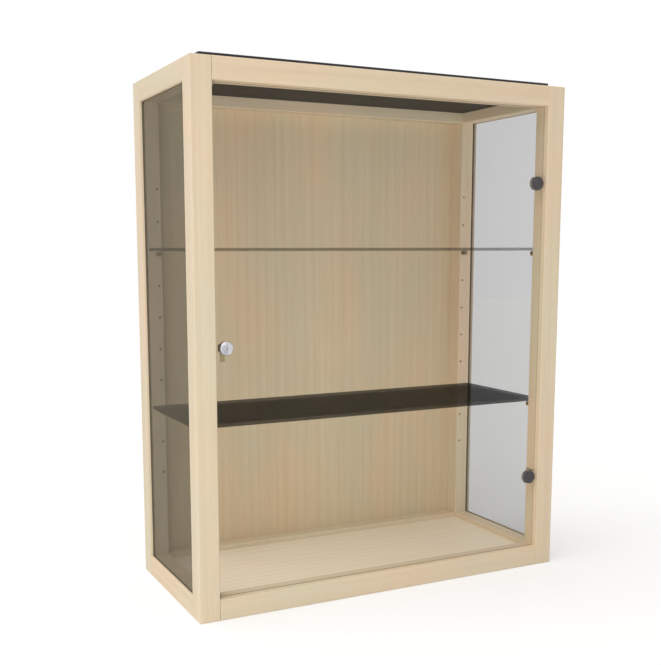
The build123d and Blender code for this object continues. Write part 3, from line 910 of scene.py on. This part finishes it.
@dataclass
class ScrewRow:
    """Countersunk screws with a cross recess, all alike."""

    node: str
    body: Body
    facing: Facing
    shank_radius: float
    seed: int
    thread_pitch: float = 1.3 * MM
    thread_height: float = 0.25 * MM
    tip_share: float = 1.6
    tip_end: float = 0.2
    recess_reach: float = 1.15
    recess_width: float = 0.24
    recess_depth: float = 0.6
    rings_along: int = 61
    faces_around: int = 32

    def tree(self, head: float, length: float) -> FieldSketch:
        """Builds the screw's node tree.

        Args:
            head: The head's radius.
            length: The whole length.

        Returns:
            The tree, ready to grow.
        """
        cone = head - self.shank_radius
        sizes = {
            "Head Radius": head,
            "Shank Radius": self.shank_radius,
            "Length": length,
            "Head Depth": cone,
            "Thread Pitch": self.thread_pitch,
            "Thread Height": self.thread_height,
            "Tip Length": self.tip_share * self.shank_radius,
            "Recess Length": self.recess_reach * head,
            "Recess Width": self.recess_width * head,
            "Recess Depth": self.recess_depth * cone,
        }
        sketch = FieldSketch(self.node + "_tree", sizes)
        size = sketch.inputs
        depth = sketch.depth_below()
        taper = sketch.span(depth, 0.0, size["Head Depth"], size["Head Radius"], size["Shank Radius"])
        half = sketch.math("DIVIDE", size["Thread Pitch"], 2.0)
        wave = sketch.math("DIVIDE", sketch.math("PINGPONG", depth, half), half)
        ridge = sketch.math("MULTIPLY", sketch.math("SUBTRACT", wave, 1.0), size["Thread Height"])
        start = sketch.math("MULTIPLY", size["Head Depth"], 2.0)
        ridge = sketch.math("MULTIPLY", ridge, sketch.math("GREATER_THAN", depth, start))
        tip_start = sketch.math("SUBTRACT", size["Length"], size["Tip Length"])
        tip = sketch.span(depth, tip_start, size["Length"], 1.0, self.tip_end)
        radius = sketch.math("MULTIPLY", sketch.math("ADD", taper, ridge), tip)
        end = sketch.minus(size["Length"])
        bar = sketch.turned_along(0.0, end, radius, self.rings_along, self.faces_around)
        tall = sketch.math("MULTIPLY", size["Recess Depth"], 2.0)
        slots = sketch.node("GeometryNodeJoinGeometry")
        for sides in (("Recess Length", "Recess Width"), ("Recess Width", "Recess Length")):
            box = sketch.vector(size[sides[0]], size[sides[1]], tall)
            sketch.feed(slots.inputs[0], sketch.node("GeometryNodeMeshCube", None, {"Size": box}).outputs[0])
        cut = sketch.node("GeometryNodeMeshBoolean", {"operation": "DIFFERENCE", "solver": "EXACT"})
        sketch.feed(cut.inputs["Mesh 1"], bar)
        sketch.feed(cut.inputs["Mesh 2"], slots.outputs[0])
        sketch.feed(cut.inputs["Self Intersection"], True)
        sketch.scatter(cut.outputs[0])
        return sketch

    def build(self, finish: Material) -> Piece:
        """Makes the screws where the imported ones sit.

        Args:
            finish: The finish.

        Returns:
            The piece.
        """
        way = Vector(self.facing.value)
        axis = max(range(3), key=lambda n: abs(way[n]))
        angles = way.to_track_quat("Z", "Y").to_euler()
        boxes = solids_of(self.node)
        places = []
        for low, high in boxes:
            head = (low + high) / 2
            head[axis] = high[axis] if way[axis] > 0 else low[axis]
            places.append((head, angles))
        size = boxes[0][1] - boxes[0][0]
        radius = max(size[n] for n in range(3) if n != axis) / 2
        sketch = self.tree(radius, size[axis])
        piece = sketch.grow(self.node + "_set", places, finish, math.pi / 2, self.seed)
        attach(piece, self.body.value)
        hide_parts(self.node)
        LOG.info("%s: %d screws", piece.name, len(places))
        return piece


@dataclass
class SoftPads:
    """Small cushioned pads, all alike."""

    node: str
    crease: float = 0.72

    def tree(self, size: Vector) -> FieldSketch:
        """Builds the pad's node tree.

        Args:
            size: The pad's size.

        Returns:
            The tree, ready to grow.
        """
        sizes = {"Width": size.x, "Depth": size.y, "Height": size.z, "Crease": self.crease}
        sketch = FieldSketch(self.node + "_tree", sizes)
        cube = sketch.node("GeometryNodeMeshCube", None, {"Size": (1.0, 1.0, 1.0)}).outputs[0]
        inputs = {"Mesh": cube, "Level": 3, "Edge Crease": sketch.inputs["Crease"]}
        pillow = sketch.node("GeometryNodeSubdivisionSurface", None, inputs).outputs[0]
        box = sketch.node("GeometryNodeBoundBox", None, {"Geometry": pillow})
        ends = {0: box.outputs["Max"], 1: box.outputs["Min"]}
        whole = sketch.node("ShaderNodeVectorMath", {"operation": "SUBTRACT"}, ends)
        wanted = sketch.vector(sketch.inputs["Width"], sketch.inputs["Depth"], sketch.inputs["Height"])
        scale = sketch.node("ShaderNodeVectorMath", {"operation": "DIVIDE"}, {0: wanted, 1: whole.outputs[0]})
        pad = sketch.node("GeometryNodeTransform", None, {"Geometry": pillow, "Scale": scale.outputs[0]})
        sketch.scatter(pad.outputs[0])
        return sketch

    def build(self, finish: Material) -> Piece:
        """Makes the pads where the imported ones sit.

        Args:
            finish: The finish.

        Returns:
            The piece.
        """
        boxes = solids_of(self.node)
        places = [((low + high) / 2, Euler((0.0, 0.0, 0.0))) for low, high in boxes]
        piece = self.tree(boxes[0][1] - boxes[0][0]).grow(self.node + "_soft", places, finish)
        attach(piece, Body.CABINET.value)
        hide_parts(self.node)
        LOG.info("%s: %d pads", piece.name, len(places))
        return piece


# Sub-assemblies


@dataclass
class Carcass:
    """Posts, rails, dowels, back and floor."""

    post_figure: float = 0.8
    panel_figure: float = 1.3
    floor_figure: float = 0.8
    dowel_figure: float = 0.5
    panel_tilt: float = 0.03

    def timbers(self) -> dict[str, Axis]:
        """Lists each timber with the direction of its grain.

        Returns:
            The grain's axis by node.
        """
        sides, ends = ("left", "right"), ("front", "rear")
        found = {f"post_{end}_{side}": Axis.Z for end in ends for side in sides}
        found |= {f"rail_{level}_{end}": Axis.X for level in ("top", "bottom") for end in ends}
        found |= {f"rail_{level}_{side}": Axis.Y for level in ("top", "bottom") for side in sides}
        return found

    def build(self) -> None:
        """Dresses the timbers and panels and sets the screws of the back."""
        for seed, (node, grain) in enumerate(self.timbers().items(), 1):
            finish = Maple(f"maple_{node}", grain, seed, self.post_figure)
            dress(node, finish.material(centre_of(node)))
            LOG.info("%s: maple, grain along %s", node, grain.name)
        back = Maple(
            "maple_back_panel",
            Axis.Z,
            31,
            self.panel_figure,
            self.panel_tilt,
            cool=(213, 201, 170),
            warm=(223, 199, 166),
        )
        dress("back_panel", back.material(centre_of("back_panel")))
        # The floor panel's maple is set near white: painted light, making up for the light that the ceiling
        # and rails keep off the floor inside.
        floor = Maple(
            "maple_floor_panel_painted_light",
            Axis.X,
            32,
            self.floor_figure,
            self.panel_tilt,
            cool=(250, 240, 218),
            warm=(252, 238, 214),
            pale=(253, 245, 228),
        )
        dress("floor_panel", floor.material(centre_of("floor_panel")))
        LOG.info("back_panel and floor_panel: maple veneer")
        beech = Maple(
            "beech_dowels",
            Axis.X,
            41,
            self.dowel_figure,
            cool=(214, 186, 148),
            warm=(220, 184, 142),
        )
        dress("frame_dowels", beech.material(centre_of("frame_dowels")))
        LOG.info("frame_dowels: beech")
        screws = Metal("zinc_back_screws", ZINC, 0.34).material()
        ScrewRow("back_panel_screws", Body.CABINET, Facing.REAR, 1.6 * MM, seed=3).build(screws)


@dataclass
class Roof:
    """The black ceiling and the cover plate above it."""

    ceiling_colour: Colour = (45, 46, 49)
    cover_colour: Colour = (44, 44, 45)

    def build(self) -> None:
        """Dresses both boards and sets the screws of the cover."""
        dress("ceiling_panel", BlackLaminate("black_ceiling", self.ceiling_colour, 1).material())
        dress("top_cover", BlackLaminate("black_cover", self.cover_colour, 2).material())
        LOG.info("ceiling_panel and top_cover: black laminate")
        screws = Metal("black_cover_screws", (58, 58, 60), 0.38, metallic=0.8).material()
        ScrewRow("top_cover_screws", Body.CABINET, Facing.TOP, 2.1 * MM, seed=5).build(screws)


@dataclass
class SideGlazing:
    """The two side panes and their rubber channels."""

    sides: tuple[str, str] = ("left", "right")
    # Each pane's painted shade and dark reflection at flat angles: paler and browner on the left, darker and
    # greyer on the right.
    left_painted_shade: Colour = (98, 91, 78)
    right_painted_shade: Colour = (62, 62, 60)

    def build(self) -> None:
        """Dresses panes and channels."""
        for side in self.sides:
            # body here is the pane's painted shade and dark reflection.
            body = self.left_painted_shade if side == "left" else self.right_painted_shade
            dress(f"side_glass_{side}", ClearGlass(f"clear_glass_{side}", body=body).material())
            let_light_through(f"side_glass_{side}")
            # The channels' grey is partly painted light, set paler against the shade in the channel.
            dress(f"side_seal_{side}", SoftPlastic(f"grey_rubber_and_painted_light_{side}", GREY_RUBBER_AND_PAINTED_LIGHT).material())
            LOG.info("side_glass_%s: glass in its channel", side)


@dataclass
class Shelving:
    """The two glass shelves with their supports and pads."""

    levels: tuple[str, str] = ("middle", "upper")
    head_radius: float = 5.0 * MM
    head_length: float = 12.0 * MM
    seat_height: float = 4.0 * MM
    pin_radius: float = 2.45 * MM
    chamfer: float = 1.0 * MM
    blunting: float = 0.75
    head_rings: int = 37
    head_faces: int = 48
    pin_rings: int = 35
    pin_faces: int = 24

    def support_tree(self, name: str, pin_length: float) -> FieldSketch:
        """Builds the support's node tree: a pin, a round head and a flat seat.

        Args:
            name: The tree's name.
            pin_length: How far the pin goes into the post.

        Returns:
            The tree, ready to grow.
        """
        sizes = {
            "Head Radius": self.head_radius,
            "Head Length": self.head_length,
            "Seat Height": self.seat_height,
            "Pin Radius": self.pin_radius,
            "Pin Length": pin_length,
            "Chamfer": self.chamfer,
        }
        sketch = FieldSketch(name, sizes)
        size = sketch.inputs
        depth = sketch.depth_below()
        inner = sketch.math("SUBTRACT", size["Head Radius"], size["Chamfer"])
        rim = sketch.span(depth, 0.0, size["Chamfer"], inner, size["Head Radius"])
        shoulder = sketch.minus(size["Head Length"])
        head = sketch.turned_along(0.0, shoulder, rim, self.head_rings, self.head_faces)
        spot = sketch.node("GeometryNodeInputPosition").outputs[0]
        place = sketch.node("ShaderNodeSeparateXYZ", None, {0: spot})
        level = sketch.math("MINIMUM", place.outputs[1], size["Seat Height"])
        flat = sketch.vector(place.outputs[0], level, place.outputs[2])
        head = sketch.node("GeometryNodeSetPosition", None, {"Geometry": head, "Position": flat}).outputs[0]
        end = sketch.math("ADD", size["Head Length"], size["Pin Length"])
        nose_start = sketch.math("SUBTRACT", end, size["Chamfer"])
        blunt = sketch.math("MULTIPLY", size["Pin Radius"], self.blunting)
        nose = sketch.span(depth, nose_start, end, size["Pin Radius"], blunt)
        bar = sketch.turned_along(shoulder, sketch.minus(end), nose, self.pin_rings, self.pin_faces)
        both = sketch.node("GeometryNodeJoinGeometry")
        for part in (head, bar):
            sketch.feed(both.inputs[0], part)
        sketch.scatter(both.outputs[0])
        return sketch

    def supports(self, level: str) -> None:
        """Sets the four supports of one shelf.

        Args:
            level: The shelf's level.
        """
        node = f"shelf_supports_{level}"
        boxes = solids_of(node)
        places = []
        for low, high in boxes:
            way = Vector((0.0, -1.0 if low.y > 0 else 1.0, 0.0))
            place = (low + high) / 2
            place.y = low.y if way.y < 0 else high.y
            place.z = high.z - self.seat_height
            places.append((place, way.to_track_quat("Z", "Y").to_euler()))
        pin = boxes[0][1].y - boxes[0][0].y - self.head_length
        finish = Metal(f"bronze_supports_{level}", (186, 168, 138), 0.38, Axis.Y, wear=0.08).material()
        piece = self.support_tree(node + "_tree", pin).grow(node + "_set", places, finish)
        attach(piece, Body.CABINET.value)
        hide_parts(node)
        LOG.info("%s: %d supports", piece.name, len(places))

    def build(self) -> None:
        """Dresses the shelves and sets supports and pads."""
        for level in self.levels:
            glass = ClearGlass(f"shelf_glass_{level}", rise=1.45, bend=1.02, edge=0.34)
            dress(f"shelf_{level}", glass.material())
            let_light_through(f"shelf_{level}")
            LOG.info("shelf_%s: glass", level)
            self.supports(level)
            pads = SoftPlastic(f"clear_pads_{level}", CLEAR_PLASTIC, cover=0.35, rough=0.3)
            SoftPads(f"support_pads_{level}").build(pads.material())


@dataclass
class GlassDoor:
    """The door pane and the stops that it closes on."""

    def build(self) -> None:
        """Dresses the pane and sets the stops."""
        dress("door_glass", ClearGlass("door_glass_clear").material())
        let_light_through("door_glass")
        LOG.info("door_glass: glass")
        stops = SoftPlastic("clear_stops", CLEAR_PLASTIC, cover=0.35, rough=0.3)
        SoftPads("door_stops", crease=0.8).build(stops.material())


@dataclass
class PivotHinges:
    """The two pivot hinges of the door."""

    levels: tuple[str, str] = ("lower", "upper")
    rim: float = 1.0 * MM
    crown: float = 0.12 * MM
    back_edge: float = 0.2 * MM
    crown_steps: tuple[float, float, float] = (0.8, 0.55, 0.3)
    anthracite: Colour = (84, 82, 86)

    def cap(self, level: str, finish: Material) -> Piece:
        """Makes the round cap in front of the glass.

        Args:
            level: The hinge's level.
            finish: The finish.

        Returns:
            The piece.
        """
        node = f"hinge_cap_{level}"
        low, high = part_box(node)
        radius = (high.x - low.x) / 2
        thick = high.y - low.y
        outline = [(0.0, 0.0), (radius - self.back_edge, 0.0), (radius, self.back_edge)]
        outline += rounding(radius, thick - self.crown, self.rim)
        flat = radius - self.rim
        for share in self.crown_steps:
            outline.append((flat * share, thick - self.crown * share**2))
        outline.append((0.0, thick))
        centre = Vector(((low.x + high.x) / 2, high.y, (low.z + high.z) / 2))
        piece = turned(node + "_turned", outline, centre, Facing.FRONT, finish)
        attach(piece, Body.DOOR.value)
        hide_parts(node)
        LOG.info("%s: turned cap", piece.name)
        return piece

    def build(self) -> None:
        """Makes the caps and dresses and screws the rest."""
        coat = Metal("anthracite_hinge", self.anthracite, 0.42, metallic=0.65, wear=0.08).material()
        satin = Metal("satin_hinge_back", (206, 204, 198), 0.36, Axis.Z, wear=0.08).material()
        for level in self.levels:
            self.cap(level, coat)
            for part in ("body", "clamp", "arm"):
                dress(f"hinge_{part}_{level}", satin)
        dress("hinge_pins", Metal("bright_pins", (200, 200, 202), 0.2, Axis.Z).material())
        soft = SoftPlastic("clear_gaskets", (196, 197, 194), cover=0.4, rough=0.4)
        dress("hinge_gaskets", soft.material())
        LOG.info("hinges: bodies, clamps, arms, pins and gaskets")
        screws = Metal("satin_hinge_screws", SATIN_STEEL, 0.3).material()
        fine = {"seed": 7, "thread_height": 0.15 * MM}
        ScrewRow("hinge_clamp_screws", Body.DOOR, Facing.REAR, 1.5 * MM, **fine).build(screws)
        ScrewRow("hinge_arm_screws", Body.CABINET, Facing.LEFT, 1.6 * MM, seed=9).build(screws)


@dataclass
class CylinderLock:
    """The lock in the door and its plate in the post."""

    rim: float = 2.0 * MM
    mouth: float = 0.35 * MM
    groove_radius: float = 9.2 * MM
    groove_width: float = 0.5 * MM
    groove_depth: float = 0.18 * MM
    barrel_radius: float = 8.0 * MM
    plug_radius: float = 6.0 * MM

    def housing(self, finish: Material) -> Piece:
        """Makes the round knob with its barrel and bore.

        Args:
            finish: The finish.

        Returns:
            The piece.
        """
        low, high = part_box("lock_housing")
        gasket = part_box("lock_gasket")[0].y
        radius = (high.x - low.x) / 2
        face = high.y - low.y
        neck = high.y - gasket
        bore = self.plug_radius
        half = self.groove_width / 2
        outline = [(bore, 0.0), (self.barrel_radius, 0.0), (self.barrel_radius, neck), (radius, neck)]
        outline += rounding(radius, face, self.rim, 10)
        outline += [
            (self.groove_radius + half, face),
            (self.groove_radius, face - self.groove_depth),
            (self.groove_radius - half, face),
            (bore + self.mouth, face),
            (bore, face - self.mouth),
        ]
        centre = Vector(((low.x + high.x) / 2, high.y, (low.z + high.z) / 2))
        piece = turned("lock_knob_turned", outline, centre, Facing.FRONT, finish, closed=True)
        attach(piece, Body.DOOR.value)
        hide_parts("lock_housing")
        LOG.info("%s: turned knob and barrel", piece.name)
        return piece

    def build(self) -> None:
        """Makes the knob and dresses the rest."""
        chrome = Metal("chrome_lock", (226, 226, 232), 0.16, wear=0.05).material()
        self.housing(chrome)
        dress("lock_plug", chrome)
        steel = Metal("yellow_zinc_lock_parts", (198, 178, 138), 0.36, Axis.X, wear=0.08).material()
        for node in ("lock_washer", "lock_nut", "lock_cam", "lock_cam_screw"):
            dress(node, steel)
        dress("strike_plate", Metal("brushed_strike", SATIN_STEEL, 0.28, Axis.Z).material())
        dress("lock_gasket", SoftPlastic("black_lock_gasket", (40, 40, 41)).material())
        LOG.info("lock: plug, washer, nut, cam and plate")
        screws = Metal("zinc_strike_screws", ZINC, 0.3).material()
        ScrewRow("strike_screws", Body.CABINET, Facing.RIGHT, 1.5 * MM, seed=11).build(screws)


@dataclass
class WallHangers:
    """The two steel plates let into the back of the top rail."""

    sides: tuple[str, str] = ("left", "right")

    def build(self) -> None:
        """Dresses the plates and sets their screws."""
        for side in self.sides:
            zinc = Metal(f"zinc_hanger_{side}", (188, 187, 182), 0.32, Axis.X)
            dress(f"hanger_plate_{side}", zinc.material())
            LOG.info("hanger_plate_%s: zinc steel", side)
        screws = Metal("zinc_hanger_screws", ZINC, 0.32).material()
        ScrewRow("hanger_screws", Body.CABINET, Facing.REAR, 1.6 * MM, seed=13).build(screws)


@dataclass
class Studio:
    """Floor, light and camera."""

    floor_half: float = 9.0
    floor_seen: float = 0.62
    floor_glow: float = 0.38
    floor_bounce: float = 0.8
    daylight: float = 0.40
    key_strength: float = 2.15
    key_way: Place = (0.37, 0.06, -0.93)
    key_spread: float = 70.0
    fill_power: float = 22.0
    fill_size: float = 1.2
    fill_place: Place = (-1.6, -2.2, 0.45)
    fill_aim: Place = (0.0, 0.0, 0.8)
    camera_place: Place = (-0.95297, -1.78696, 0.67710)
    camera_yaw: float = -26.4987
    camera_pitch: float = -8.0650
    camera_roll: float = -0.038
    lens: float = 52.80
    shift: tuple[float, float] = (0.00966, 0.0803)

    def floor(self) -> None:
        """Lays the white floor, which shows the object's soft shadow."""
        half = self.floor_half
        mesh = bpy.data.meshes.new("studio_floor")
        corners = [(-half, -half, 0), (half, -half, 0), (half, half, 0), (-half, half, 0)]
        mesh.from_pydata(corners, [], [(0, 1, 2, 3)])
        ground = bpy.data.objects.new("studio_floor", mesh)
        bpy.context.scene.collection.objects.link(ground)
        sketch = ShaderSketch("white_floor")
        seen = sketch.node("ShaderNodeLightPath").outputs["Is Camera Ray"]
        lit = sketch.node("ShaderNodeBsdfDiffuse", None, {"Color": grey(self.floor_seen)}).outputs[0]
        inputs = {"Color": WHITE, "Strength": self.floor_glow}
        glow = sketch.node("ShaderNodeEmission", None, inputs).outputs[0]
        shown = sketch.node("ShaderNodeAddShader", None, {0: lit, 1: glow}).outputs[0]
        plain = sketch.node("ShaderNodeBsdfDiffuse", None, {"Color": grey(self.floor_bounce)}).outputs[0]
        mixed = sketch.node("ShaderNodeMixShader", None, {0: seen, 1: plain, 2: shown})
        mesh.materials.append(sketch.close(mixed.outputs[0]))

    def sky(self) -> None:
        """Sets the white surroundings and their plain light."""
        world = bpy.data.worlds.new("studio_sky")
        bpy.context.scene.world = world
        world.use_nodes = True
        world.node_tree.nodes.clear()
        sketch = Sketch(world.node_tree)
        ray = sketch.node("ShaderNodeLightPath").outputs
        seen = sketch.math("MAXIMUM", ray["Is Camera Ray"], ray["Is Glossy Ray"])
        seen = sketch.math("MAXIMUM", seen, ray["Is Transmission Ray"])
        white = sketch.node("ShaderNodeBackground", None, {"Color": WHITE, "Strength": 1.0}).outputs[0]
        light = {"Color": (1.0, 0.995, 0.985, 1.0), "Strength": self.daylight}
        plain = sketch.node("ShaderNodeBackground", None, light).outputs[0]
        mixed = sketch.node("ShaderNodeMixShader", None, {0: seen, 1: plain, 2: white}).outputs[0]
        output = sketch.node("ShaderNodeOutputWorld")
        sketch.feed(output.inputs["Surface"], mixed)

    def fill(self) -> None:
        """Stands a large dim panel in front to the left, which lights the inside."""
        light = bpy.data.lights.new("fill_light", "AREA")
        light.shape = "SQUARE"
        light.size = self.fill_size
        light.energy = self.fill_power
        panel = bpy.data.objects.new("fill_light", light)
        panel.location = self.fill_place
        way = Vector(self.fill_aim) - Vector(self.fill_place)
        panel.rotation_euler = way.to_track_quat("-Z", "Y").to_euler()
        panel.visible_camera = False
        panel.visible_glossy = False
        bpy.context.scene.collection.objects.link(panel)

    def lamp(self) -> None:
        """Hangs the broad soft lamp high up, a little to the left."""
        light = bpy.data.lights.new("key_light", "SUN")
        light.energy = self.key_strength
        light.angle = math.radians(self.key_spread)
        light.color = (1.0, 0.99, 0.975)
        key = bpy.data.objects.new("key_light", light)
        key.rotation_euler = Vector(self.key_way).to_track_quat("-Z", "Y").to_euler()
        key.location = (-2.0, -2.0, 3.0)
        bpy.context.scene.collection.objects.link(key)

    def camera(self) -> None:
        """Puts the camera where the photograph was taken from."""
        eye = bpy.data.cameras.new("camera")
        eye.sensor_fit = "AUTO"
        eye.sensor_width = 36.0
        eye.lens = self.lens
        eye.shift_x, eye.shift_y = self.shift
        eye.clip_start, eye.clip_end = 0.05, 60.0
        camera = bpy.data.objects.new("camera", eye)
        camera.location = self.camera_place
        turn = Matrix.Rotation(math.radians(self.camera_yaw), 4, "Z")
        turn @= Matrix.Rotation(math.radians(90.0 + self.camera_pitch), 4, "X")
        turn @= Matrix.Rotation(math.radians(self.camera_roll), 4, "Z")
        camera.rotation_euler = turn.to_euler()
        bpy.context.scene.collection.objects.link(camera)
        bpy.context.scene.camera = camera

    def build(self) -> None:
        """Sets up floor, light and camera."""
        bpy.context.scene.view_settings.view_transform = "Standard"
        self.floor()
        self.sky()
        self.lamp()
        self.fill()
        self.camera()
        LOG.info("studio: floor, light and camera")


def main() -> None:
    """Builds every sub-assembly in order."""
    logging.basicConfig(level=logging.INFO, format="%(message)s")
    Studio().build()
    Carcass().build()
    Roof().build()
    SideGlazing().build()
    Shelving().build()
    GlassDoor().build()
    PivotHinges().build()
    CylinderLock().build()
    WallHangers().build()


if __name__ == "__main__":
    main()
